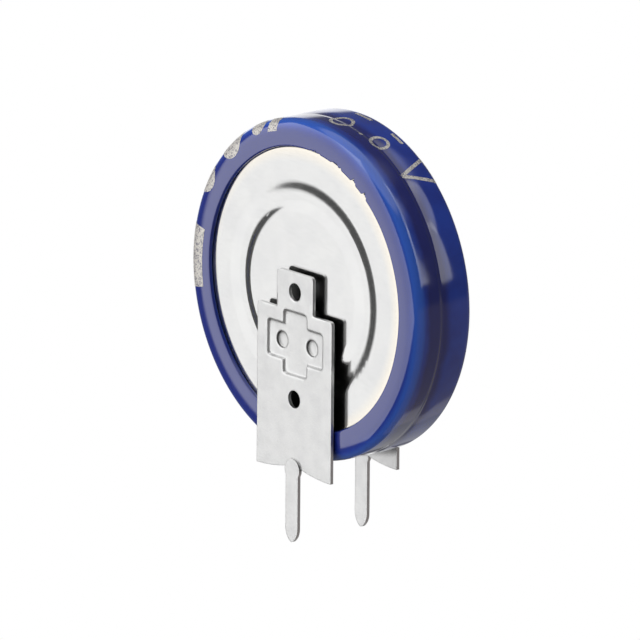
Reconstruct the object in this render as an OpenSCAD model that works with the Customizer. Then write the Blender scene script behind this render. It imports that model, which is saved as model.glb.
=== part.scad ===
// Coin-type double-layer capacitor: two flat cells in series, stacked face to
// face in a shrink sleeve, with one stamped terminal welded to each end face.
// It stands on edge on a circuit board. The origin is on the board's surface,
// midway between the two pins: X runs across the terminals, -Y is the negative
// face and +Z points away from the board.

/* [Cell] */
// Outside diameter of one cell's steel case
cell_d = 18.6; // [18:0.1:24]
// Height of one cell over its raised middle
cell_h = 1.95; // [1.7:0.01:2.05]
// Thickness of the drawn steel of case and cap
steel_t = 0.2; // [0.1:0.01:0.25]
// Outside corner radius at the bottom of the case
case_bend = 0.3; // [0.25:0.01:0.4]
// Outside corner radius of the crimped edge
crimp_bend = 0.4; // [0.3:0.01:0.5]
// How far the crimped edge reaches in over the gasket
crimp_w = 0.6; // [0.5:0.01:0.8]
// Radius of the curve by which the crimp draws the wall inwards
draw_r = 2.5; // [2:0.1:3]
// How far that curve draws the wall in
draw_in = 0.1; // [0.06:0.01:0.12]

/* [Cap] */
// Width of the cap's flange, gripped by the gasket
flange_w = 0.5; // [0.3:0.01:0.55]
// Outside corner radius of the cap
cap_bend = 0.4; // [0.3:0.01:0.5]
// How far the cap's outer face lies below its raised middle
cap_drop = 0.08; // [0.04:0.01:0.12]
// Width of the flat face between the cap's corner and its ring groove
face_w = 1.65; // [1.4:0.01:2]
// Width of the groove's slope beside the flat face
outer_slope_w = 0.7; // [0.5:0.01:0.9]
// Width of the bottom of the ring groove
groove_w = 0.45; // [0.3:0.01:0.7]
// Width of the groove's slope beside the raised middle
inner_slope_w = 0.65; // [0.5:0.01:0.9]
// Depth of the ring groove below the flat face
groove_depth = 0.09; // [0.05:0.01:0.15]

/* [Inside the cell] */
// Thickness of the gasket between the cap's flange and the case's wall
gasket_wall = 0.4; // [0.3:0.01:0.5]
// Thickness of the gasket under the cap's flange
gasket_t = 0.3; // [0.2:0.01:0.4]
// Width of the gasket's foot on the bottom of the case
gasket_foot_w = 1.6; // [1.4:0.01:2]
// Clearance round the separator inside the gasket
separator_gap = 0.05; // [0:0.01:0.3]
// Clearance round the electrodes inside the gasket
electrode_gap = 0.5; // [0.3:0.01:1]
// Thickness of the separator
separator_t = 0.1; // [0.05:0.01:0.2]
// Thickness of the conductive carbon layers at their thinnest
carbon_t = 0.05; // [0.03:0.01:0.1]

/* [Sleeve] */
// Thickness of the shrunk sleeve
sleeve_t = 0.2; // [0.1:0.01:0.3]
// Width of the lips that the sleeve folds over both faces
lip_w = 1.6; // [1.2:0.01:2]
// Depth of the sleeve's bridge over the waist at the corner of the front cell's case
bridge_front_in = 0.04; // [0.03:0.01:0.06]
// Depth of that bridge at the crimp of the rear cell
bridge_rear_in = 0.12; // [0.1:0.01:0.14]

/* [Terminal] */
// Distance between the middles of the two pins
pin_pitch = 5; // [5:0.01:6]
// Thickness of the terminal strip
strip_t = 0.2; // [0.15:0.01:0.25]
// Width of the terminal plate
plate_w = 6.2; // [5.8:0.1:7]
// Gap between the sleeve and the board
board_gap = 0.7; // [0.3:0.1:2]
// Distance from the disc's centre down to the plate's shoulders
shoulder_drop = 1.07; // [0.8:0.01:1.3]
// Corner radius of the plate's shoulders
shoulder_r = 0.2; // [0.1:0.01:0.4]
// Width of the neck above the shoulders
neck_w = 3; // [2.6:0.1:3.6]
// Distance from the disc's centre up to the top of the neck
neck_rise = 1.1; // [0.9:0.01:1.5]
// Corner radius at the top of the neck
neck_r = 0.25; // [0.1:0.01:0.5]
// Fillet radius between neck and shoulders
neck_fillet = 0.12; // [0.05:0.01:0.3]
// Diameter of the two locating holes
hole_d = 1; // [0.8:0.01:1.2]
// Distance between the two locating holes
hole_pitch = 6.05; // [5.7:0.01:7]
// Rise of the plate's lower edge from its corners to the pin
edge_rise = 0.3; // [0.1:0.01:0.5]

/* [Pressed cross] */
// Width of the cross from side to side
cross_w = 4.7; // [4.2:0.1:5]
// Height of the cross's side arms
cross_arm_h = 2.15; // [1.9:0.01:2.3]
// Width of the cross's upright arm
cross_stem_w = 2.05; // [1.8:0.01:2.3]
// Height of the cross's upright arm
cross_stem_h = 3.7; // [3.4:0.01:3.9]
// Distance from the disc's centre down to the middle of the cross
cross_drop = 2.94; // [2.9:0.01:3.1]
// Corner radius of the cross
cross_r = 0.3; // [0.2:0.01:0.5]
// Depth to which the cross is pressed
cross_depth = 0.18; // [0.1:0.01:0.25]
// Width of the sloping wall round the cross
cross_slope = 0.12; // [0.05:0.01:0.18]
// Diameter of the two weld nibs inside the cross
nib_d = 0.95; // [0.8:0.01:1.1]
// Distance between the two weld nibs
nib_pitch = 2.5; // [2:0.01:2.8]

/* [Pin] */
// Width of the pin
pin_w = 1; // [0.8:0.01:1.2]
// Length of the pin below the board's surface
pin_len = 3.9; // [3:0.1:6]
// Diameter of the pin's half-sheared head
head_d = 1.2; // [1.1:0.01:1.4]
// Height of the top of the head above the board
head_top = 0.8; // [0.7:0.01:1.2]
// How far the pin is sheared outwards from the plate
shear = 0.12; // [0.05:0.01:0.14]
// Length of the pin's taper
taper_len = 0.8; // [0.6:0.01:1.2]
// Radius of the pin's blunt tip
tip_r = 0.2; // [0.1:0.01:0.3]

/* [Hidden] */
$fn = 96;
CELL_PARTS = ["case", "case_carbon", "positive_electrode", "separator",
    "negative_electrode", "cap_carbon", "gasket", "cap"];
steel = "silver";
tinned = "gainsboro";
carbon = "dimgray";
cell_r = cell_d / 2;
flange_r = cell_r - steel_t - gasket_wall;
cap_r = flange_r - flange_w;
face_r = cap_r - cap_bend;
groove_rim_r = face_r - face_w;
groove_out_r = groove_rim_r - outer_slope_w;
groove_in_r = groove_out_r - groove_w;
boss_r = groove_in_r - inner_slope_w;
face_h = cell_h - cap_drop;
groove_h = face_h - groove_depth;
flange_h = steel_t + gasket_t;
gasket_bore_r = cell_r - steel_t - gasket_foot_w;
separator_r = gasket_bore_r - separator_gap;
electrode_r = gasket_bore_r - electrode_gap;
electrode_t = (groove_h - 2 * steel_t - 2 * carbon_t - separator_t) / 2;
plate_in = pin_pitch / 2 - shear - strip_t / 2;
nib_depth = plate_in - cell_h - cross_depth;
press_wall = strip_t / 2;
sleeve_r = cell_r + sleeve_t;
sleeve_h = cell_h + sleeve_t;
draw_cos = 1 - draw_in / draw_r;
draw_sin = sqrt(1 - draw_cos * draw_cos);
draw_z = cell_h - crimp_bend - (draw_r - crimp_bend) * draw_sin;
disc_z = sleeve_r + board_gap;
cut = 0.01;

// ---- shared shapes ----

// Section under an S-curve that falls from its high end to its low end.
module slope_section(r_high, z_high, r_low, z_low, base) {
    rise = z_high - z_low;
    run = abs(r_high - r_low);
    curve = (run * run + rise * rise) / (4 * rise);
    mid_r = (r_high + r_low) / 2;
    mid_z = (z_high + z_low) / 2;
    translate([min(r_high, mid_r), base]) square([run / 2, mid_z - base]);
    intersection() {
        translate([min(r_high, mid_r), mid_z]) square([run / 2, rise / 2]);
        translate([r_high, z_high - curve]) circle(curve);
    }
    difference() {
        translate([min(mid_r, r_low), base]) square([run / 2, mid_z - base]);
        translate([r_low, z_low + curve]) circle(curve);
    }
}

// Rectangle centred on the origin with rounded corners.
module rounded_plate(w, h, r) {
    square([w - 2 * r, h], center = true);
    square([w, h - 2 * r], center = true);
    for (x = [-1, 1], y = [-1, 1])
        translate([x * (w / 2 - r), y * (h / 2 - r)]) circle(r);
}

// Rounded rectangular block from z = 0 down to -depth, narrowing by its slope.
module tapered_block(w, h, r, slope, depth) {
    inner_w = w - 2 * r;
    inner_h = h - 2 * r;
    flank = [[-r, 0], [r, 0], [r - slope, -depth], [slope - r, -depth]];
    translate([-inner_w / 2, -inner_h / 2, -depth]) cube([inner_w, inner_h, depth]);
    for (y = [-1, 1]) translate([-inner_w / 2, y * inner_h / 2, 0])
        rotate([90, 0, 90]) linear_extrude(inner_w) polygon(flank);
    for (x = [-1, 1]) translate([x * inner_w / 2, inner_h / 2, 0])
        rotate([90, 0, 0]) linear_extrude(inner_h) polygon(flank);
    for (x = [-1, 1], y = [-1, 1])
        translate([x * inner_w / 2, y * inner_h / 2, -depth]) cylinder(depth, r - slope, r);
}

// Turns a disc drawn flat, with its outer face up, to stand on the board facing -Y.
module standing() {
    translate([0, 0, disc_z]) rotate([90, 0, 0]) children();
}

// Places one cell: the front cell's case bottom touches the rear cell's cap.
module in_cell(side) {
    standing() translate([0, 0, side == "front" ? 0 : -cell_h]) children();
}

// ---- cell ----

// Half section of a crimped case, for a surface that lies grow outside its own.
module case_section(grow) {
    draw_x = cell_r - draw_r;
    crimp_x = draw_x + (draw_r - crimp_bend) * draw_cos;
    crimp_z = cell_h - crimp_bend;
    reach = 2 * draw_r;
    translate([0, -grow]) square([cell_r - case_bend, draw_z + grow]);
    translate([0, case_bend]) square([cell_r + grow, draw_z - case_bend]);
    translate([cell_r - case_bend, case_bend]) circle(case_bend + grow);
    translate([draw_x, draw_z]) intersection() {
        circle(draw_r + grow);
        polygon([[0, 0], [reach, 0], [reach * draw_cos, reach * draw_sin]]);
    }
    polygon([[0, draw_z], [draw_x, draw_z], [crimp_x, crimp_z], [crimp_x, cell_h + grow],
        [0, cell_h + grow]]);
    translate([crimp_x, crimp_z]) circle(crimp_bend + grow);
}

// Section under the cap's face, shifted down by inset from the outer surface.
module cap_section(inset) {
    top = cell_h - inset;
    face = face_h - inset;
    floor_h = groove_h - inset;
    translate([0, flange_h]) square([boss_r, top - flange_h]);
    slope_section(boss_r, top, groove_in_r, floor_h, flange_h);
    translate([groove_in_r, flange_h]) square([groove_w, floor_h - flange_h]);
    slope_section(groove_rim_r, face, groove_out_r, floor_h, flange_h);
    translate([groove_rim_r, flange_h]) square([face_w, face - flange_h]);
    translate([face_r, face_h - cap_bend]) circle(cap_bend - inset);
    translate([0, flange_h]) square([cap_r - inset, face_h - cap_bend - flange_h]);
}

// Drawn steel can, its open edge crimped inwards over the gasket.
module cell_case() {
    color(steel) rotate_extrude() difference() {
        case_section(0);
        case_section(-steel_t);
        translate([0, cell_h - steel_t - cut]) square([cell_r - crimp_w, steel_t + 2 * cut]);
    }
}

// Drawn steel cap with a welded middle, a stiffening groove and a flange.
module cell_cap() {
    color("whitesmoke") rotate_extrude() {
        difference() {
            cap_section(0);
            translate([0, -cut]) cap_section(steel_t - cut);
        }
        translate([cap_r - steel_t, flange_h]) square([flange_r - cap_r + steel_t, steel_t]);
    }
}

// Moulded ring that seals and insulates the cap from the case.
module cell_gasket() {
    color("black") rotate_extrude() difference() {
        case_section(-steel_t);
        square([gasket_bore_r, cell_h]);
        translate([0, flange_h]) square([flange_r, steel_t]);
        translate([0, flange_h]) square([cap_r, cell_h]);
    }
}

// Conductive carbon that bonds the positive electrode to the case.
module cell_case_carbon() {
    color(carbon) translate([0, 0, steel_t]) cylinder(carbon_t, r = electrode_r);
}

// Activated carbon disc on the case side.
module cell_positive_electrode() {
    color("black") translate([0, 0, steel_t + carbon_t]) cylinder(electrode_t, r = electrode_r);
}

// Porous disc that keeps the electrodes apart.
module cell_separator() {
    color("ivory") translate([0, 0, steel_t + carbon_t + electrode_t])
        cylinder(separator_t, r = separator_r);
}

// Activated carbon disc on the cap side.
module cell_negative_electrode() {
    color("black") translate([0, 0, steel_t + carbon_t + electrode_t + separator_t])
        cylinder(electrode_t, r = electrode_r);
}

// Conductive carbon that bonds the negative electrode to the cap.
module cell_cap_carbon() {
    color(carbon) rotate_extrude() intersection() {
        cap_section(steel_t);
        translate([0, groove_h - steel_t - carbon_t]) square([electrode_r, cell_h]);
    }
}

// ---- sleeve ----

// Half section of both cells, for a surface that lies grow outside their cases.
// It spans the waist between them with a straight bridge.
module stack_section(grow) {
    rim = cell_r + grow;
    case_section(grow);
    translate([0, -cell_h]) case_section(grow);
    polygon([[0, -crimp_bend], [rim - bridge_rear_in, -crimp_bend],
        [rim - bridge_front_in, case_bend], [0, case_bend]]);
}

// Shrink sleeve, folded over both faces as lips.
module sleeve() {
    color("mediumblue") standing() rotate_extrude() difference() {
        stack_section(sleeve_t);
        stack_section(0);
        translate([0, -sleeve_h - cut]) square([sleeve_r - lip_w, 2 * (sleeve_h + cut)]);
    }
}

// ---- terminal ----

// Outline of the plate and its neck, seen from outside.
module plate_outline() {
    plate_h = disc_z - shoulder_drop;
    edge_run = (plate_w - head_d) / 2;
    edge_r = (edge_run * edge_run + edge_rise * edge_rise) / (2 * edge_rise);
    difference() {
        union() {
            translate([0, -disc_z + plate_h / 2]) rounded_plate(plate_w, plate_h, shoulder_r);
            translate([-plate_w / 2, -disc_z]) square([plate_w, plate_h / 2]);
            translate([0, -shoulder_drop])
                rounded_plate(neck_w, 2 * (neck_rise + shoulder_drop), neck_r);
            for (side = [-1, 1]) translate([side * neck_w / 2, -shoulder_drop]) difference() {
                translate([-neck_fillet, -neck_fillet]) square(2 * neck_fillet);
                translate([side * neck_fillet, neck_fillet]) circle(neck_fillet);
            }
        }
        for (y = [0, -hole_pitch]) translate([0, y]) circle(d = hole_d);
        for (side = [-1, 1]) difference() {
            translate([side * plate_w / 4, -disc_z])
                square([plate_w / 2 + cut, 2 * edge_rise], center = true);
            translate([side * plate_w / 2, edge_r - disc_z]) circle(edge_r);
        }
    }
}

// Outline of the pin, from its round head down to its blunt tapered tip.
module pin_outline() {
    tip_y = tip_r - pin_len - disc_z;
    taper_y = taper_len - pin_len - disc_z;
    fall = taper_y - tip_y;
    taper_r = (fall * fall / (pin_w / 2 - tip_r) + tip_r + pin_w / 2) / 2;
    join_y = tip_y - tip_r * fall / (taper_r - tip_r);
    head_y = head_top - head_d / 2 - disc_z;
    translate([0, head_y]) circle(d = head_d);
    translate([-pin_w / 2, taper_y]) square([pin_w, head_y - taper_y]);
    intersection() {
        translate([pin_w / 2 - taper_r, taper_y]) circle(taper_r);
        translate([taper_r - pin_w / 2, taper_y]) circle(taper_r);
        translate([-pin_w / 2, join_y]) square([pin_w, taper_y - join_y]);
    }
    translate([0, tip_y]) circle(tip_r);
}

// The pressed cross: two crossed arms, grown outwards by a margin.
module cross_block(margin, depth) {
    tapered_block(cross_w + 2 * margin, cross_arm_h + 2 * margin, cross_r + margin,
        cross_slope, depth);
    tapered_block(cross_stem_w + 2 * margin, cross_stem_h + 2 * margin, cross_r + margin,
        cross_slope, depth);
}

// Stamped and tinned strip: plate, cross pressed inwards to the weld, offset pin.
module terminal() {
    plate_out = plate_in + strip_t;
    nib_out = plate_out - cross_depth;
    color(tinned) difference() {
        union() {
            translate([0, 0, plate_in]) linear_extrude(strip_t) plate_outline();
            translate([0, -cross_drop, plate_in]) cross_block(press_wall, cross_depth);
            for (side = [-1, 1]) translate([side * nib_pitch / 2, -cross_drop, cell_h])
                cylinder(nib_depth + strip_t / 2, d = nib_d + strip_t);
            translate([0, 0, plate_in + shear]) linear_extrude(strip_t) pin_outline();
        }
        translate([0, -cross_drop, plate_out]) cross_block(0, cross_depth);
        for (side = [-1, 1]) translate([side * nib_pitch / 2, -cross_drop, nib_out - nib_depth])
            cylinder(nib_depth + cut, d = nib_d);
        translate([0, 0, plate_in - cut]) linear_extrude(shear + cut) pin_outline();
    }
}

module front_terminal() {
    standing() terminal();
}

module rear_terminal() {
    standing() mirror([0, 0, 1]) terminal();
}

// ---- assembly ----

sleeve();
front_terminal();
rear_terminal();
for (side = ["front", "rear"]) in_cell(side) {
    cell_case();
    cell_case_carbon();
    cell_positive_electrode();
    cell_separator();
    cell_negative_electrode();
    cell_cap_carbon();
    cell_gasket();
    cell_cap();
}
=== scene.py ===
"""Looks of a coin-type double-layer capacitor that stands on edge on two flat pins.

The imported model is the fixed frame. The steel, plastic and carbon pieces keep their own
solids and get procedural finishes. The shrink sleeve is made again here as one finer
skin with uneven lips, and the printed marks lie on it.
"""

import logging
import math
from dataclasses import dataclass, field
from enum import Enum
from typing import Any, Callable

import bpy
from mathutils import Matrix, Vector


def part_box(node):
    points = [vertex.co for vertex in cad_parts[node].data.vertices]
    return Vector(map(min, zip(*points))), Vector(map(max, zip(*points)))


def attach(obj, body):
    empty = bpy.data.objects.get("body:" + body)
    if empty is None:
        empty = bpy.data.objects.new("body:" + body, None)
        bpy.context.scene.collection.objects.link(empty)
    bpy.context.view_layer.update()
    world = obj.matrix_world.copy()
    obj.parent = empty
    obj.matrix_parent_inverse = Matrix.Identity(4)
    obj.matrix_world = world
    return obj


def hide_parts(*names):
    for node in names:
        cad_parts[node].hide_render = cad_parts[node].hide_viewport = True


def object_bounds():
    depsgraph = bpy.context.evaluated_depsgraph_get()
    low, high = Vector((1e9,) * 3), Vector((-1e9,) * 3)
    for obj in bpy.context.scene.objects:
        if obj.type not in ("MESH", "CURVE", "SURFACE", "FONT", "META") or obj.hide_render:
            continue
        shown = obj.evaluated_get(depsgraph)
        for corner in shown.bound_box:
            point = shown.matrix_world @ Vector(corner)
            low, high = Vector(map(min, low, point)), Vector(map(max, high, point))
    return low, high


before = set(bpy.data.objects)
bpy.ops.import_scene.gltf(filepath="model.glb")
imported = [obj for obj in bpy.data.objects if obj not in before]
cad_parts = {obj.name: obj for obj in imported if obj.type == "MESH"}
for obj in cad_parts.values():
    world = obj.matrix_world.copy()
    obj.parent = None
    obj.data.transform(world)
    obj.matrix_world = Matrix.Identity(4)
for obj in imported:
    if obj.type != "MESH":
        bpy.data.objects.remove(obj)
CAD_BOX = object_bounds()

MM = 0.001
Colour = tuple[float, float, float]
Point = tuple[float, float]
Span = tuple[float, float]

# The stretch of a noise pattern's strengths that most of it lies in.
MIDDLE = (0.3, 0.7)
# Rays for each look into a corner or round an edge.
CORNER_RAYS = 8
# Points closer than this, in millimetres, are one.
SAME_PLACE = 1e-6

log = logging.getLogger("capacitor")


class Side(Enum):
    """The two ends of the stack, with the sign of Y on which each one lies."""

    FRONT = -1
    REAR = 1

    @property
    def word(self) -> str:
        """The side's name as the nodes spell it."""
        return self.name.lower()


class Sheet:
    """A node tree with short calls that add nodes and join them."""

    def __init__(self, tree: bpy.types.NodeTree) -> None:
        """Empties the tree and keeps it.

        Args:
            tree: the node tree of a material or of the world.
        """
        self.tree = tree
        tree.nodes.clear()

    def add(
        self, kind: str, inputs: dict[str | int, Any] | None = None, **settings: Any
    ) -> bpy.types.Node:
        """Adds one node.

        Args:
            kind: the node's type without its "ShaderNode" prefix.
            inputs: value or joined output for each named or numbered input.
            settings: properties of the node itself.

        Returns:
            The new node.
        """
        node = self.tree.nodes.new("ShaderNode" + kind)
        for key, value in settings.items():
            setattr(node, key, value)
        for key, value in (inputs or {}).items():
            self.join(node.inputs[key], value)
        return node

    def join(self, socket: bpy.types.NodeSocket, value: Any) -> None:
        """Links an output to the socket, or sets the socket to a plain value.

        Args:
            socket: the input to feed.
            value: an output socket, a number, a vector or a colour.
        """
        if isinstance(value, bpy.types.NodeSocket):
            self.tree.links.new(value, socket)
        elif socket.type == "RGBA" and len(value) == 3:
            socket.default_value = (*value, 1.0)
        else:
            socket.default_value = value

    def maths(self, operation: str, *values: Any, clamp: bool = False) -> bpy.types.NodeSocket:
        """Adds one Math node.

        Args:
            operation: the node's operation.
            values: its inputs in order.
            clamp: whether the result stays from 0 to 1.

        Returns:
            The node's output.
        """
        inputs = dict(enumerate(values))
        return self.add("Math", inputs, operation=operation, use_clamp=clamp).outputs[0]

    def stretch(self, place: Any, by: tuple[float, float, float]) -> bpy.types.NodeSocket:
        """Stretches or squeezes the coordinates along each axis.

        Args:
            place: the coordinates.
            by: the factor for each axis.

        Returns:
            The changed coordinates.
        """
        return self.add("VectorMath", {0: place, 1: by}, operation="MULTIPLY").outputs[0]

    def blend(self, share: Any, low: Any, high: Any) -> bpy.types.NodeSocket:
        """Mixes two colours.

        Args:
            share: how much of the second colour shows, from 0 to 1.
            low: the first colour.
            high: the second colour.

        Returns:
            The mixed colour.
        """
        node = self.add("Mix", data_type="RGBA")
        for key, value in (("Factor", share), ("A", low), ("B", high)):
            socket = next(s for s in node.inputs if s.name == key and s.enabled)
            self.join(socket, value)
        return next(s for s in node.outputs if s.enabled)

    def ramp(
        self, value: Any, low: float, high: float, start: float = 0.0, end: float = 1.0
    ) -> bpy.types.NodeSocket:
        """Maps a number from one range to another along a smooth step.

        Args:
            value: the number to map.
            low: where the step begins.
            high: where the step ends.
            start: the result at or before the beginning.
            end: the result at or after the end.

        Returns:
            The mapped number.
        """
        node = self.add(
            "MapRange",
            {"Value": value, 1: low, 2: high, 3: start, 4: end},
            interpolation_type="SMOOTHSTEP",
        )
        return node.outputs[0]

    def noise(
        self, place: Any, scale: float, detail: float = 3.0, roughness: float = 0.5
    ) -> bpy.types.NodeSocket:
        """Adds one noise pattern.

        Args:
            place: the coordinates that it reads, in millimetres.
            scale: how many features fit in a millimetre.
            detail: how many finer layers are laid over it.
            roughness: how strongly the finer layers count.

        Returns:
            The pattern's strength from 0 to 1.
        """
        values = {"Vector": place, "Scale": scale, "Detail": detail, "Roughness": roughness}
        return self.add("TexNoise", values).outputs[0]


@dataclass(frozen=True)
class Finish:
    """What every finish shares: a name, a gloss and how to make the material."""

    name: str
    roughness: float

    def sheet(self) -> tuple[bpy.types.Material, Sheet, bpy.types.NodeSocket]:
        """Starts the material.

        Returns:
            The material, its node sheet and the place on the piece in millimetres.
        """
        material = bpy.data.materials.new(self.name)
        material.use_nodes = True
        sheet = Sheet(material.node_tree)
        coordinates = sheet.add("TexCoord").outputs["Object"]
        scale = sheet.add("VectorMath", {0: coordinates, "Scale": 1 / MM}, operation="SCALE")
        return material, sheet, scale.outputs[0]

    def close(
        self, sheet: Sheet, height: Any, depth: float, inputs: dict[str, Any], worn_edge: Any = None
    ) -> None:
        """Ends the material with a bump and the surface shader.

        Args:
            sheet: the material's node sheet.
            height: the relief's pattern.
            depth: the relief's depth in millimetres.
            inputs: the shader's own inputs.
            worn_edge: radius in millimetres by which sharp edges look rounded; none if left out.
        """
        bump = sheet.add("Bump", {"Strength": 1.0, "Distance": depth * MM, "Height": height})
        if worn_edge is not None:
            radius = sheet.maths("MULTIPLY", worn_edge, MM)
            bevel = sheet.add("Bevel", {"Radius": radius}, samples=CORNER_RAYS)
            sheet.join(bump.inputs["Normal"], bevel.outputs[0])
        shader = sheet.add("BsdfPrincipled", {"Normal": bump.outputs[0], **inputs})
        sheet.add("OutputMaterial", {"Surface": shader.outputs[0]})

    def gloss(
        self, sheet: Sheet, pattern: bpy.types.NodeSocket, less: float, more: float
    ) -> bpy.types.NodeSocket:
        """Varies the roughness with a pattern.

        Args:
            sheet: the material's node sheet.
            pattern: the noise pattern that it follows.
            less: the factor where the pattern is weak.
            more: the factor where the pattern is strong.

        Returns:
            The roughness.
        """
        return sheet.ramp(pattern, *MIDDLE, self.roughness * less, self.roughness * more)

    def material(self) -> bpy.types.Material:
        """Makes the material.

        Returns:
            The finished material.
        """
        raise NotImplementedError


@dataclass(frozen=True)
class SleeveFilm(Finish):
    """Deep blue shrink film: smooth and glossy, with painted shade across the waist.

    The film lies on steel at its shoulders but spans the waist between the cells; the waist gets painted
    shade and the front shoulder a painted highlight.
    Zones are places along Y in millimetres, from the middle plane: where a tone begins,
    where it is full, where it starts to fade and where it is gone.
    """

    name: str = "sleeve_film"
    roughness: float = 0.09
    face: Colour = (0.009, 0.021, 0.215)
    deep: Colour = (0.009, 0.034, 0.31)
    bright: Colour = (0.013, 0.055, 0.43)
    # Painted highlight: the brighter blue of the front shoulder stands in for light falling on it.
    stretched: Colour = (0.028, 0.115, 0.57)
    # Painted shade: the dark navy laid across the waist between the cells.
    unbacked: Colour = (0.010, 0.016, 0.17)
    # Zone of the painted waist shade.
    waist: tuple[float, float, float, float] = (-1.2, -0.8, 0.15, 0.65)
    # Zone of the painted shoulder highlight.
    shoulder: tuple[float, float, float, float] = (-2.02, -1.8, -1.5, -1.15)
    rim: Span = (-2.15, -1.95)
    cloud_scale: float = 0.35
    wander: float = 0.5
    wander_scale: float = 0.5
    smeared: Span = (0.3, 0.75)
    smear_scale: float = 1.3
    ripple: float = 0.0012
    ripple_scale: float = 1.6
    ior: float = 1.6
    coat: float = 0.7
    coat_roughness: float = 0.05

    def material(self) -> bpy.types.Material:
        """Makes the film's material.

        Returns:
            The finished material.
        """
        material, sheet, place = self.sheet()
        clouds = sheet.noise(place, self.cloud_scale, 4.0)
        mottled = sheet.blend(sheet.ramp(clouds, *MIDDLE), self.deep, self.bright)
        waves = sheet.noise(place, self.wander_scale, 2.0)
        drift = sheet.maths("MULTIPLY_ADD", waves, self.wander, -self.wander / 2)
        y = sheet.add("SeparateXYZ", {0: place}).outputs[1]
        base_tone = sheet.blend(sheet.ramp(y, *self.rim), self.face, mottled)
        shifted = sheet.maths("ADD", y, drift)
        # Masks: painted shade across the waist (first), painted highlight on the front shoulder (second).
        waist_shade_share, thin = (
            sheet.maths("MULTIPLY", sheet.ramp(at, a, b), sheet.ramp(at, c, d, 1.0, 0.0))
            for at, (a, b, c, d) in ((shifted, self.waist), (y, self.shoulder))
        )
        # Lays the painted waist shade, then the painted shoulder highlight, over the film's own blue.
        colour = sheet.blend(thin, sheet.blend(waist_shade_share, base_tone, self.unbacked), self.stretched)
        smears = sheet.noise(place, self.smear_scale, 2.0)
        gloss = sheet.ramp(smears, *self.smeared, self.roughness * 0.8, self.roughness * 1.5)
        relief = sheet.noise(place, self.ripple_scale, 3.0, 0.4)
        self.close(sheet, relief, self.ripple, {
            "Base Color": colour, "Roughness": gloss, "IOR": self.ior,
            "Coat Weight": self.coat, "Coat Roughness": self.coat_roughness,
        })
        return material


@dataclass(frozen=True)
class PrintInk(Finish):
    """Silvery print on the film, thin and rubbed in streaks."""

    name: str = "print_ink"
    roughness: float = 0.38
    silver: Colour = (0.74, 0.71, 0.66)
    worn: Colour = (0.20, 0.19, 0.24)
    wear: Span = (0.47, 0.60)
    streak_scale: float = 3.5
    speck_scale: float = 12.0
    metal: float = 0.35
    relief: float = 0.004

    def material(self) -> bpy.types.Material:
        """Makes the ink's material.

        Returns:
            The finished material.
        """
        material, sheet, place = self.sheet()
        streaks = sheet.noise(sheet.stretch(place, (1.0, 4.0, 1.0)), self.streak_scale, 5.0, 0.7)
        specks = sheet.noise(place, self.speck_scale, 2.0, 0.6)
        rubbed = sheet.maths("MULTIPLY_ADD", specks, 0.6, sheet.maths("MULTIPLY", streaks, 0.4))
        colour = sheet.blend(sheet.ramp(rubbed, *self.wear), self.silver, self.worn)
        self.close(sheet, specks, self.relief, {
            "Base Color": colour, "Roughness": self.roughness, "Metallic": self.metal,
        })
        return material


@dataclass(frozen=True)
class DrawnSteel(Finish):
    """Drawn nickel-plated steel with a soft turned sheen, a little warm near the sleeve."""

    name: str = "cell_steel"
    roughness: float = 0.14
    axis_z: float = 0.0
    light: Colour = (0.585, 0.585, 0.58)
    grey: Colour = (0.555, 0.555, 0.555)
    warm: Colour = (0.68, 0.64, 0.57)
    warm_from: float = 7.1
    warm_to: float = 8.0
    cloud_scale: float = 0.5
    brush_scale: float = 0.5
    relief: float = 0.0008
    relief_scale: float = 9.0

    def material(self) -> bpy.types.Material:
        """Makes the steel's material.

        Returns:
            The finished material.
        """
        material, sheet, place = self.sheet()
        clouds = sheet.noise(place, self.cloud_scale, 4.0)
        plain = sheet.blend(sheet.ramp(clouds, *MIDDLE), self.light, self.grey)
        centred = sheet.add("VectorMath", {0: place, 1: (0.0, 0.0, self.axis_z)}, operation="SUBTRACT")
        flat = sheet.stretch(centred.outputs[0], (1.0, 0.0, 1.0))
        away = sheet.add("VectorMath", {0: flat}, operation="LENGTH").outputs["Value"]
        colour = sheet.blend(sheet.ramp(away, self.warm_from, self.warm_to), plain, self.warm)
        brushed = sheet.noise(sheet.stretch(place, (3.0, 3.0, 30.0)), self.brush_scale, 3.0)
        gloss = self.gloss(sheet, brushed, 0.85, 1.2)
        self.close(sheet, sheet.noise(place, self.relief_scale, 3.0), self.relief, {
            "Base Color": colour, "Metallic": 1.0, "Roughness": gloss,
        })
        return material


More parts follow.
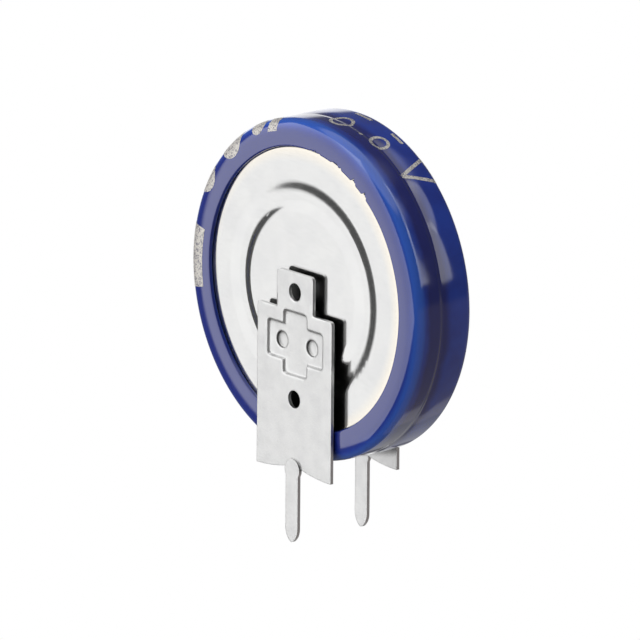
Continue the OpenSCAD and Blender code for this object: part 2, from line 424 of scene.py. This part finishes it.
@dataclass(frozen=True)
class TinnedStrip(Finish):
    """Matt tin on a stamped strip, finely grained and shaded in its corners.

    Both edge radii are in millimetres: sheared round the blank, pressed round the cross.
    The cross's middle is its X and Z, and its reach is half the side of the square that
    holds it.
    """

    name: str = "tinned_strip"
    roughness: float = 0.38
    light: Colour = (0.75, 0.75, 0.745)
    grey: Colour = (0.67, 0.67, 0.67)
    shade: Colour = (0.10, 0.10, 0.10)
    sheared: float = 0.05
    pressed: float = 0.16
    cross_middle: Point = (0.0, 7.3)
    cross_reach: float = 2.6
    corner: float = 0.8
    tilt: float = 0.6
    shaded: Span = (0.35, 0.75)
    cloud_scale: float = 1.1
    relief: float = 0.012
    relief_scale: float = 8.0

    def edge(self, sheet: Sheet, place: bpy.types.NodeSocket) -> bpy.types.NodeSocket:
        """Radius of the strip's edges: soft round the pressed cross, crisp where sheared.

        Args:
            sheet: the material's node sheet.
            place: the place on the strip in millimetres.

        Returns:
            The radius in millimetres.
        """
        x, _, z = sheet.add("SeparateXYZ", {0: place}).outputs
        off = sheet.maths(
            "MAXIMUM",
            sheet.maths("ABSOLUTE", sheet.maths("SUBTRACT", x, self.cross_middle[0])),
            sheet.maths("ABSOLUTE", sheet.maths("SUBTRACT", z, self.cross_middle[1])),
        )
        near = sheet.maths("LESS_THAN", off, self.cross_reach)
        extra = sheet.maths("MULTIPLY", near, self.pressed - self.sheared)
        return sheet.maths("ADD", extra, self.sheared)

    def above(self, sheet: Sheet) -> bpy.types.NodeSocket:
        """Leans the surface's direction upwards, so that corners look shaded from above.

        Args:
            sheet: the material's node sheet.

        Returns:
            The leaned direction.
        """
        normal = sheet.add("NewGeometry").outputs["Normal"]
        leaned = sheet.add("VectorMath", {0: normal, 1: (0.0, 0.0, self.tilt)}, operation="ADD")
        return sheet.add("VectorMath", {0: leaned.outputs[0]}, operation="NORMALIZE").outputs[0]

    def material(self) -> bpy.types.Material:
        """Makes the tin's material.

        Returns:
            The finished material.
        """
        material, sheet, place = self.sheet()
        clouds = sheet.noise(place, self.cloud_scale, 5.0, 0.6)
        plain = sheet.blend(sheet.ramp(clouds, 0.3, 0.8), self.light, self.grey)
        grain = sheet.noise(place, self.relief_scale, 4.0, 0.7)
        looks = {"Distance": self.corner * MM, "Normal": self.above(sheet)}
        open_sky = sheet.add("AmbientOcclusion", looks, samples=CORNER_RAYS).outputs["AO"]
        colour = sheet.blend(sheet.ramp(open_sky, *self.shaded), self.shade, plain)
        gloss = self.gloss(sheet, grain, 0.85, 1.15)
        self.close(sheet, grain, self.relief, {
            "Base Color": colour, "Metallic": 1.0, "Roughness": gloss,
        }, self.edge(sheet, place))
        return material


@dataclass(frozen=True)
class Plain(Finish):
    """A dull moulded, pressed or coated stuff with a fine grain."""

    light: Colour = (0.03, 0.03, 0.03)
    dark: Colour = (0.015, 0.015, 0.015)
    grain: float = 8.0
    depth: float = 0.003

    def material(self) -> bpy.types.Material:
        """Makes the dull material.

        Returns:
            The finished material.
        """
        material, sheet, place = self.sheet()
        specks = sheet.noise(place, self.grain, 4.0, 0.6)
        colour = sheet.blend(sheet.ramp(specks, 0.35, 0.65), self.light, self.dark)
        self.close(sheet, specks, self.depth, {"Base Color": colour, "Roughness": self.roughness})
        return material


GASKET = Plain(
    "gasket_plastic", 0.45,
    light=(0.035, 0.035, 0.037), dark=(0.02, 0.02, 0.022), grain=5.0, depth=0.002,
)
ELECTRODE = Plain(
    "electrode_carbon", 0.85,
    light=(0.022, 0.022, 0.022), dark=(0.008, 0.008, 0.008), grain=12.0, depth=0.01,
)
CARBON_COAT = Plain(
    "conductive_carbon", 0.6,
    light=(0.07, 0.07, 0.072), dark=(0.03, 0.03, 0.03), grain=10.0, depth=0.004,
)
SEPARATOR = Plain(
    "separator_paper", 0.9,
    light=(0.74, 0.72, 0.66), dark=(0.62, 0.60, 0.54), grain=7.0, depth=0.006,
)


def dress(node: str, material: bpy.types.Material) -> None:
    """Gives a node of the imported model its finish.

    Args:
        node: the node's name.
        material: the finish to put on it.
    """
    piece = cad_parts[node]
    piece.data.materials.clear()
    piece.data.materials.append(material)


def mesh_piece(
    name: str, points: list[Vector], faces: list[tuple[int, ...]], material: bpy.types.Material
) -> bpy.types.Object:
    """Makes one smooth piece of the object and lets it ride on the body.

    Args:
        name: the piece's name.
        points: its corners in metres.
        faces: its faces as indices of the corners.
        material: its finish.

    Returns:
        The new piece.
    """
    mesh = bpy.data.meshes.new(name)
    mesh.from_pydata([tuple(p) for p in points], [], faces)
    mesh.polygons.foreach_set("use_smooth", [True] * len(mesh.polygons))
    mesh.materials.append(material)
    piece = bpy.data.objects.new(name, mesh)
    bpy.context.scene.collection.objects.link(piece)
    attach(piece, "root")
    return piece


@dataclass
class Cell:
    """One sealed cell: case, cap, gasket, electrodes, separator and carbon layers."""

    side: Side
    finishes: dict[str, bpy.types.Material]

    def dress(self) -> int:
        """Gives every piece of the cell its finish.

        Returns:
            How many pieces were dressed.
        """
        for part, material in self.finishes.items():
            dress(f"{self.side.word}_{part}", material)
        return len(self.finishes)


@dataclass
class Terminal:
    """One stamped strip with its pressed cross and its pin."""

    side: Side
    finish: bpy.types.Material

    def dress(self) -> None:
        """Gives the strip its tin."""
        dress(f"{self.side.word}_terminal", self.finish)


@dataclass(frozen=True)
class Arc:
    """One arc of the sleeve's section, given for its outer surface.

    The radius is negative where the film is hollow. Angles are those of the surface's
    outward direction in degrees: -90 faces the front, 0 the rim and 90 the rear.
    """

    middle: Point
    radius: float
    start: float
    end: float
    steps: int

    def line(self, inset: float, share: float = 1.0) -> list[Point]:
        """Points along the arc.

        Args:
            inset: how far the surface lies inside the outer one, in millimetres.
            share: how many of the arc's steps are taken.

        Returns:
            Radius and height of each point in millimetres.
        """
        steps = max(1, round(self.steps * share))
        turns = [math.radians(self.start + (self.end - self.start) * i / steps) for i in range(steps + 1)]
        reach = self.radius - inset
        return [(self.middle[0] + reach * math.cos(t), self.middle[1] + reach * math.sin(t)) for t in turns]


@dataclass
class Section:
    """Half section of the film round the rim, as a chain of arcs from front to rear.

    The front face is crowned towards its shoulder. The waist runs from a tight corner of
    the front cell up a long gentle slope to the rear cell. Radii and heights are in
    millimetres, and steps says how many chords each arc gets.
    """

    radius: float
    half: float
    root_r: float = 8.5
    crown_bend: float = 6.0
    crown_end: float = -84.0
    front_bend: float = 0.8
    corner_bend: float = 0.5
    corner_y: float = -0.3
    dip_bend: float = 0.5
    slope_bend: float = 5.5
    slope_y: float = 0.9
    rear_bend: float = 0.5
    steps: tuple[int, int, int, int, int, int] = (2, 12, 5, 7, 8, 9)
    crown: Point = field(init=False)
    arcs: tuple[Arc, ...] = field(init=False)

    def __post_init__(self) -> None:
        """Joins the arcs so that each one runs smoothly into the next."""
        corner = (self.radius - self.corner_bend, self.corner_y)
        slope = (self.radius - self.slope_bend, self.slope_y)
        rear = (self.radius - self.rear_bend, self.half - self.rear_bend)
        end, extra = math.radians(self.crown_end), self.crown_bend - self.front_bend
        self.crown = (self.radius - self.front_bend - extra * math.cos(end), self.crown_bend - self.half)
        front = (self.radius - self.front_bend, self.crown[1] + extra * math.sin(end))
        start = -math.degrees(math.acos((self.root_r - self.crown[0]) / self.crown_bend))
        to_slope = Vector(slope) - Vector(corner)
        near, far = self.corner_bend + self.dip_bend, self.slope_bend + self.dip_bend
        along = (to_slope.length_squared + near ** 2 - far ** 2) / (2 * to_slope.length)
        out = math.sqrt(near ** 2 - along ** 2)
        ahead = to_slope.normalized()
        dip = Vector(corner) + along * ahead + out * Vector((ahead.y, -ahead.x))
        fall, climb = (math.degrees(math.atan2(dip.y - y, dip.x - r)) for r, y in (corner, slope))
        bends = (
            (self.crown, self.crown_bend, start, self.crown_end),
            (front, self.front_bend, self.crown_end, 0.0),
            (corner, self.corner_bend, 0.0, fall),
            ((dip.x, dip.y), -self.dip_bend, fall, climb),
            (slope, self.slope_bend, climb, 0.0),
            (rear, self.rear_bend, 0.0, 90.0),
        )
        self.arcs = tuple(Arc(*bend, steps) for bend, steps in zip(bends, self.steps))

    def face(self, radius: float, side: int) -> Point:
        """A place on the film's flat face, crowned at the front.

        Args:
            radius: distance from the disc's axis in millimetres.
            side: -1 at the front, 1 at the rear.

        Returns:
            Radius and height in millimetres.
        """
        if side > 0:
            return radius, self.half
        beyond = max(0.0, radius - self.crown[0])
        return radius, self.crown[1] - math.sqrt(self.crown_bend ** 2 - beyond ** 2)

    def reach(self, y: float) -> float:
        """Distance along the film from the front face's root to a height on the rim.

        Args:
            y: the height in millimetres.

        Returns:
            The distance in millimetres.
        """
        total, line = 0.0, self.line(0.0)
        for a, b in zip(line, line[1:]):
            if b[1] >= y > a[1]:
                return total + math.dist(a, b) * (y - a[1]) / (b[1] - a[1])
            total += math.dist(a, b)
        return total

    def line(self, inset: float, share: float = 1.0) -> list[Point]:
        """Half section of one surface, from the front face's edge to the rear one's.

        Args:
            inset: how far the surface lies inside the outer one, in millimetres.
            share: how many of the arcs' steps are taken.

        Returns:
            Radius and height of each point in millimetres.
        """
        points: list[Point] = []
        for arc in self.arcs:
            line = arc.line(inset, share)
            points += line[1:] if points and math.dist(points[-1], line[0]) < SAME_PLACE else line
        return points

    def along(self, reach: float, lift: float) -> Point:
        """A place at a distance along the film from the front face's edge.

        Args:
            reach: millimetres along the outer surface; negative on the front face.
            lift: millimetres above the outer surface.

        Returns:
            Radius and height in millimetres.
        """
        flat, raised = self.line(0.0), self.line(-lift)
        if reach <= 0:
            radius, y = self.face(flat[0][0] + reach, -1)
            return radius, y - lift
        for a, b, c, d in zip(flat, flat[1:], raised, raised[1:]):
            length = math.dist(a, b)
            if reach <= length:
                share = reach / length
                return c[0] + (d[0] - c[0]) * share, c[1] + (d[1] - c[1]) * share
            reach -= length
        return raised[-1]


@dataclass
class Sleeve:
    """The shrink sleeve round both cells, with lips folded over both faces.

    Each nick in the front lip has its direction and half width in degrees and its depth
    in millimetres, and each wave of the lips' edges has its count and its size. Coarse
    and fine are the degrees between two sections, torn is where the fine ones stand.
    """

    rim_t: float = 0.14
    lip_t: float = 0.19
    lip_r: float = 7.9
    lip_shift: float = 0.33
    lip_shift_at: float = math.radians(25)
    rear_shift_on: float = math.radians(150)
    waves: tuple[tuple[int, float], ...] = ((5, 0.012), (11, 0.006))
    lip_steps: int = 6
    edge_r: float = 0.08
    rounded: float = 0.95
    inner_share: float = 0.6
    coarse: float = 1.0
    fine: float = 0.25
    torn: Span = (36.0, 88.0)
    nicks: tuple[tuple[float, float, float], ...] = (
        (84, 1.2, 0.06), (82, 1.8, 0.10), (79.5, 1.2, 0.07),
        (71, 1.6, 0.13), (69, 1.8, 0.17), (66.5, 1.0, 0.12),
        (58.5, 1.4, 0.28), (57, 0.6, 0.14),
        (51, 1.4, 0.30), (49.5, 0.6, 0.14),
    )
    centre: Vector = field(init=False)
    section: Section = field(init=False)

    def __post_init__(self) -> None:
        """Reads the sleeve's middle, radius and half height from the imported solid."""
        low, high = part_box("sleeve")
        self.centre = (low + high) / 2
        self.section = Section((high.z - low.z) / 2 / MM, high.y / MM)

    def lip_edge(self, angle: float, side: int) -> float:
        """Radius of a lip's edge: a little off centre, with torn nicks at the front.

        Args:
            angle: the direction round the disc, from +X towards +Z.
            side: -1 at the front, 1 at the rear.

        Returns:
            The radius in millimetres.
        """
        shift = self.lip_shift_at if side < 0 else self.lip_shift_at + self.rear_shift_on
        radius = self.lip_r + self.lip_shift * math.cos(angle - shift)
        for wave, size in self.waves:
            radius += size * math.sin(wave * angle + wave * wave + side)
        if side < 0:
            for place, width, depth in self.nicks:
                away = (math.degrees(angle) - place + 180) % 360 - 180
                radius += depth * max(0.0, 1 - abs(away) / width)
        return radius

    def lip(self, angle: float, side: int) -> list[Point]:
        """Half section of a lip, from its outer flat round its edge to its inner flat.

        Args:
            angle: the direction round the disc.
            side: -1 at the front, 1 at the rear.

        Returns:
            Radius and height of each point in millimetres.
        """
        edge = self.lip_edge(angle, side)
        root = self.section.line(0.0)[0 if side < 0 else -1][0]
        inside = side * (self.section.half - self.lip_t)
        shares = [i / self.lip_steps for i in range(1, self.lip_steps + 1)]
        outer = [self.section.face(root + (edge + self.edge_r - root) * share, side) for share in shares]
        depth = outer[-1][1] - inside
        turns = [math.radians(90 * share) for share in shares]
        over = [
            (edge + self.edge_r * (1 - math.sin(t)), inside + depth * (1 - self.rounded * (1 - math.cos(t))))
            for t in turns
        ]
        return outer + over + [(edge, inside), (edge + (root - edge) / 2, inside)]

    def turns(self) -> list[float]:
        """Directions of the section's copies: close together where the lip is torn.

        Returns:
            The directions round the disc in radians, in rising order.
        """
        low, high = self.torn
        fine = [low + self.fine * i for i in range(round((high - low) / self.fine))]
        rest = round((360 + low - high) / self.coarse)
        coarse = [high + (360 + low - high) * i / rest for i in range(rest)]
        return [math.radians(angle) for angle in fine + coarse]

    def build(self, material: bpy.types.Material) -> bpy.types.Object:
        """Makes the sleeve as one closed skin and puts it in place of the plain solid.

        Args:
            material: the film's finish.

        Returns:
            The sleeve's piece.
        """
        outer, inner = self.section.line(0.0), self.section.line(self.rim_t, self.inner_share)
        turns = self.turns()
        points: list[Vector] = []
        for angle in turns:
            loop = outer + self.lip(angle, 1) + inner[::-1] + self.lip(angle, -1)[::-1]
            points += [self.place(angle, r, y) for r, y in loop]
        ring = len(points) // len(turns)
        faces = [
            (a * ring + i, a * ring + j, b * ring + j, b * ring + i)
            for a, b in ((s, (s + 1) % len(turns)) for s in range(len(turns)))
            for i, j in ((k, (k + 1) % ring) for k in range(ring))
        ]
        piece = mesh_piece("sleeve_skin", points, faces, material)
        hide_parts("sleeve")
        return piece

    def place(self, angle: float, radius: float, y: float) -> Vector:
        """Turns a place round the disc into a point of the frame.

        Args:
            angle: the direction round the disc, from +X towards +Z.
            radius: distance from the disc's axis in millimetres.
            y: distance from the middle plane in millimetres.

        Returns:
            The point in metres.
        """
        return Vector((
            self.centre.x + radius * MM * math.cos(angle),
            y * MM,
            self.centre.z + radius * MM * math.sin(angle),
        ))

    def wrapped(self, angle: float, reach: float, lift: float) -> Vector:
        """A point on the outer skin, found along the film.

        Args:
            angle: the direction round the disc.
            reach: millimetres along the film, from the front face's edge towards the rear.
            lift: millimetres above the film.

        Returns:
            The point in metres.
        """
        return self.place(angle, *self.section.along(reach, lift))


@dataclass(frozen=True)
class Mark:
    """One printed shape: a line on the film with a width that may change along it.

    Its places are degrees round the disc and millimetres along the film.
    """

    name: str
    path: Callable[[float], Point]
    width: Callable[[float], float]
    steps: int = 30


@dataclass
class Print:
    """Plain printed shapes on the sleeve's front shoulder and rim.

    A stitch is the widest step between two points across a stroke, in millimetres.
    """

    sleeve: Sleeve
    finish: bpy.types.Material
    lift: float = 0.005
    stitch: float = 0.06
    ring_steps: int = 64
    mm_per_degree: float = field(init=False)

    def __post_init__(self) -> None:
        """Works out how far one degree reaches on the rim."""
        self.mm_per_degree = math.radians(self.sleeve.section.radius)

    def bar(self, name: str, start: Point, end: Point, width: float) -> Mark:
        """A straight stroke.

        Args:
            name: the mark's name.
            start: where it starts.
            end: where it ends.
            width: its width in millimetres.

        Returns:
            The mark.
        """
        return Mark(name, lambda t: tuple(a + (b - a) * t for a, b in zip(start, end)), lambda t: width)

    def disc(self, name: str, middle: Point, radius: float) -> Mark:
        """A filled round spot.

        Args:
            name: the mark's name.
            middle: its middle.
            radius: its radius in millimetres.

        Returns:
            The mark.
        """
        return Mark(
            name,
            lambda t: (middle[0], middle[1] + radius * (2 * t - 1)),
            lambda t: 2 * radius * math.sqrt(max(0.0, 1 - (2 * t - 1) ** 2)),
        )

    def ring(self, name: str, middle: Point, radius: float, width: float) -> Mark:
        """A closed ring.

        Args:
            name: the mark's name.
            middle: its middle.
            radius: radius of the middle of its stroke in millimetres.
            width: its stroke's width in millimetres.

        Returns:
            The mark.
        """
        def path(t: float) -> Point:
            """Follows the middle of the ring's stroke.

            Args:
                t: the share of the way round.

            Returns:
                Degrees round the disc and millimetres along the film.
            """
            turn = 2 * math.pi * t
            return (
                middle[0] + radius * math.cos(turn) / self.mm_per_degree,
                middle[1] + radius * math.sin(turn),
            )
        return Mark(name, path, lambda t: width, self.ring_steps)

    def wedge(self, name: str, tip: Point, base: tuple[Point, Point], width: float) -> list[Mark]:
        """A three-sided outline.

        Args:
            name: the first part of its strokes' names.
            tip: its tip.
            base: the two ends of its base.
            width: its strokes' width in millimetres.

        Returns:
            Its three strokes.
        """
        sides = ((tip, base[0]), base, (base[1], tip))
        return [self.bar(f"{name}_{i}", a, b, width) for i, (a, b) in enumerate(sides, 1)]

    def lay(self, mark: Mark) -> bpy.types.Object:
        """Lays one mark on the film.

        Args:
            mark: the mark to lay.

        Returns:
            The mark's piece.
        """
        points: list[Vector] = []
        across = math.ceil(max(mark.width(i / 8) for i in range(9)) / self.stitch)
        nudge = 0.001
        for step in range(mark.steps + 1):
            t = step / mark.steps
            here = mark.path(t)
            before, after = mark.path(t - nudge), mark.path(t + nudge)
            run = Vector(((after[0] - before[0]) * self.mm_per_degree, after[1] - before[1])).normalized()
            for i in range(across + 1):
                off = mark.width(t) * (i / across - 0.5)
                angle = here[0] - run.y * off / self.mm_per_degree
                points.append(self.sleeve.wrapped(math.radians(angle), here[1] + run.x * off, self.lift))
        row = across + 1
        faces = [
            (s * row + i, s * row + i + 1, (s + 1) * row + i + 1, (s + 1) * row + i)
            for s in range(mark.steps) for i in range(across)
        ]
        return mesh_piece(mark.name, points, faces, self.finish)

    def build(self) -> list[bpy.types.Object]:
        """Lays all the marks.

        Returns:
            The marks' pieces.
        """
        up = self.sleeve.section.reach
        marks = [
            self.bar("print_bar", (167, 0.61), (190, 0.61), 1.78),
            self.disc("print_disc_1", (149, 1.05), 1.0),
            self.disc("print_disc_2", (130.5, 1.05), 1.05),
            self.disc("print_disc_3", (114.5, 0.95), 0.6),
            self.bar("print_stop", (103.5, 0.85), (108.5, 0.85), 1.0),
            self.ring("print_ring_1", (84, up(-0.05)), 0.62, 0.2),
            self.disc("print_disc_4", (73.5, up(-0.15)), 0.13),
            self.ring("print_ring_2", (67, up(0.3)), 0.5, 0.2),
            self.bar("print_dash_1", (88, up(1.5)), (80, up(1.5)), 0.2),
            self.bar("print_dash_2", (70, up(1.55)), (64, up(1.55)), 0.2),
            *self.wedge("print_wedge", (51, up(0.0)), ((56, up(2.0)), (46, up(2.0))), 0.22),
        ]
        return [self.lay(mark) for mark in marks]


@dataclass(frozen=True)
class SoftBox:
    """A soft-edged bright field of the studio, by its direction from the object.

    Azimuth 0 is the front and 90 the right. All sizes are in degrees. A lean turns the
    field's top towards smaller azimuths.
    """

    azimuth: float
    elevation: float
    half_width: float
    half_height: float
    feather: float
    strength: float
    lean: float = 0.0
    tint: Colour = (1.0, 1.0, 1.0)

    def glow(self, sheet: Sheet, direction: bpy.types.NodeSocket) -> bpy.types.NodeSocket:
        """Adds the box's share of the light.

        Args:
            sheet: the world's node sheet.
            direction: the direction that the light comes from.

        Returns:
            The colour that the box adds.
        """
        turned = sheet.add(
            "VectorRotate",
            {"Vector": direction, "Angle": -math.radians(self.azimuth)},
            rotation_type="Z_AXIS",
        ).outputs[0]
        split = sheet.add("SeparateXYZ", {0: turned}).outputs
        side = sheet.maths("ARCTAN2", split[0], sheet.maths("MULTIPLY", split[1], -1.0))
        rise = sheet.maths("SUBTRACT", sheet.maths("ARCSINE", split[2]), math.radians(self.elevation))
        c, s = math.cos(math.radians(self.lean)), math.sin(math.radians(self.lean))
        across = sheet.maths("ADD", sheet.maths("MULTIPLY", side, c), sheet.maths("MULTIPLY", rise, s))
        along = sheet.maths("SUBTRACT", sheet.maths("MULTIPLY", rise, c), sheet.maths("MULTIPLY", side, s))
        edges = [
            (sheet.maths("ABSOLUTE", value), math.radians(half), math.radians(half + self.feather))
            for value, half in ((across, self.half_width), (along, self.half_height))
        ]
        shares = [sheet.ramp(*edge, 1.0, 0.0) for edge in edges]
        share = sheet.maths("MULTIPLY", sheet.maths("MULTIPLY", *shares), self.strength)
        return sheet.add("VectorMath", {0: self.tint, "Scale": share}, operation="SCALE").outputs[0]


FRONT_KEY = SoftBox(
    azimuth=-21.9, elevation=10.7, half_width=39.2, half_height=50, feather=5, strength=1.38, lean=31
)
LEFT_REAR = SoftBox(azimuth=-130, elevation=-8, half_width=19, half_height=14, feather=8, strength=1.0)
RIM_STRIP = SoftBox(azimuth=121, elevation=22, half_width=6, half_height=15, feather=3, strength=1.5)
RIM_STRIP_TOP = SoftBox(
    azimuth=138, elevation=47.5, half_width=6, half_height=17, feather=3, strength=1.2, lean=-55
)
OVERHEAD = SoftBox(azimuth=0, elevation=90, half_width=180, half_height=32, feather=10, strength=0.75)
FLOOR_GLOW = SoftBox(
    azimuth=130, elevation=-48, half_width=60, half_height=40, feather=4, strength=0.14,
    tint=(1.0, 0.85, 0.8),
)
LOW_REAR = SoftBox(
    azimuth=-160, elevation=-46, half_width=22, half_height=6, feather=5, strength=0.3, lean=18
)


@dataclass
class Studio:
    """White floor, soft light all round and the camera.

    The camera's distance is in metres, its lens and its aim in millimetres. The aim is
    how far right of and above the disc's middle it looks.
    """

    boxes: tuple[SoftBox, ...] = (
        FRONT_KEY, LEFT_REAR, RIM_STRIP, RIM_STRIP_TOP, OVERHEAD, FLOOR_GLOW, LOW_REAR,
    )
    fill: float = 0.12
    floor_half: float = 0.6
    distance: float = 1.0
    azimuth: float = math.radians(49.34)
    elevation: float = math.radians(15.08)
    roll: float = math.radians(0.47)
    lens: float = 1031.5
    clip: Span = (0.05, 20.0)
    aim: Point = (-0.516, -1.908)

    def light(self) -> None:
        """Makes the soft light that comes from all round."""
        world = bpy.data.worlds.new("studio")
        bpy.context.scene.world = world
        world.use_nodes = True
        sheet = Sheet(world.node_tree)
        direction = sheet.add("TexCoord").outputs["Generated"]
        total: Any = (self.fill,) * 3
        for box in self.boxes:
            both = {0: total, 1: box.glow(sheet, direction)}
            total = sheet.add("VectorMath", both, operation="ADD").outputs[0]
        seen = sheet.add("LightPath").outputs["Is Camera Ray"]
        lit = sheet.blend(seen, total, (1.0, 1.0, 1.0))
        background = sheet.add("Background", {"Color": lit, "Strength": 1.0})
        sheet.add("OutputWorld", {"Surface": background.outputs[0]})

    def floor(self) -> bpy.types.Object:
        """Makes the white floor under the pins' tips.

        Returns:
            The floor.
        """
        level = CAD_BOX[0].z
        half = self.floor_half
        mesh = bpy.data.meshes.new("floor")
        corners = [(-half, -half, level), (half, -half, level), (half, half, level), (-half, half, level)]
        mesh.from_pydata(corners, [], [(0, 1, 2, 3)])
        floor = bpy.data.objects.new("floor", mesh)
        bpy.context.scene.collection.objects.link(floor)
        material = bpy.data.materials.new("white_sweep")
        material.use_nodes = True
        sheet = Sheet(material.node_tree)
        glow = sheet.add("Emission", {"Color": (1.0, 1.0, 1.0), "Strength": 1.0})
        sheet.add("OutputMaterial", {"Surface": glow.outputs[0]})
        mesh.materials.append(material)
        floor.visible_diffuse = floor.visible_glossy = floor.visible_shadow = False
        floor.visible_transmission = False
        return floor

    def camera(self, centre: Vector) -> bpy.types.Object:
        """Makes the long-lens camera that looks at the disc from its front right.

        Args:
            centre: the middle of the disc.

        Returns:
            The camera.
        """
        a, e = self.azimuth, self.elevation
        back = Vector((math.sin(a) * math.cos(e), -math.cos(a) * math.cos(e), math.sin(e)))
        level = Vector((math.cos(a), math.sin(a), 0))
        rise = back.cross(level)
        right = math.cos(self.roll) * level + math.sin(self.roll) * rise
        up = -math.sin(self.roll) * level + math.cos(self.roll) * rise
        data = bpy.data.cameras.new("camera")
        data.lens = self.lens
        data.clip_start, data.clip_end = self.clip
        camera = bpy.data.objects.new("camera", data)
        bpy.context.scene.collection.objects.link(camera)
        target = centre + (self.aim[0] * right + self.aim[1] * up) * MM
        camera.matrix_world = view_matrix(right, up, back, target + back * self.distance)
        bpy.context.scene.camera = camera
        bpy.context.scene.view_settings.view_transform = "Standard"
        return camera


def view_matrix(right: Vector, up: Vector, back: Vector, place: Vector) -> Any:
    """Builds the camera's matrix from its three axes and its place.

    Args:
        right: the picture's horizontal direction.
        up: the picture's vertical direction.
        back: the direction from the object to the camera.
        place: where the camera stands.

    Returns:
        The four by four matrix.
    """
    return Matrix((
        (right.x, up.x, back.x, place.x),
        (right.y, up.y, back.y, place.y),
        (right.z, up.z, back.z, place.z),
        (0, 0, 0, 1),
    ))


def main() -> None:
    """Builds the studio and every piece of the capacitor, in order."""
    logging.basicConfig(level=logging.INFO, format="%(message)s")
    sleeve = Sleeve()
    steel = DrawnSteel(axis_z=sleeve.centre.z / MM).material()
    coat, electrode = CARBON_COAT.material(), ELECTRODE.material()
    finishes = {
        "case": steel,
        "case_carbon": coat,
        "positive_electrode": electrode,
        "separator": SEPARATOR.material(),
        "negative_electrode": electrode,
        "cap_carbon": coat,
        "gasket": GASKET.material(),
        "cap": steel,
    }
    tin = TinnedStrip().material()
    for side in Side:
        log.info("%s cell: %d pieces dressed", side.word, Cell(side, finishes).dress())
        Terminal(side, tin).dress()
        log.info("%s terminal dressed", side.word)
    skin = sleeve.build(SleeveFilm().material())
    log.info("sleeve: %d faces", len(skin.data.polygons))
    marks = Print(sleeve, PrintInk().material()).build()
    log.info("print: %d marks", len(marks))
    studio = Studio()
    studio.light()
    studio.floor()
    studio.camera(sleeve.centre)
    log.info("studio ready")


if __name__ == "__main__":
    main()
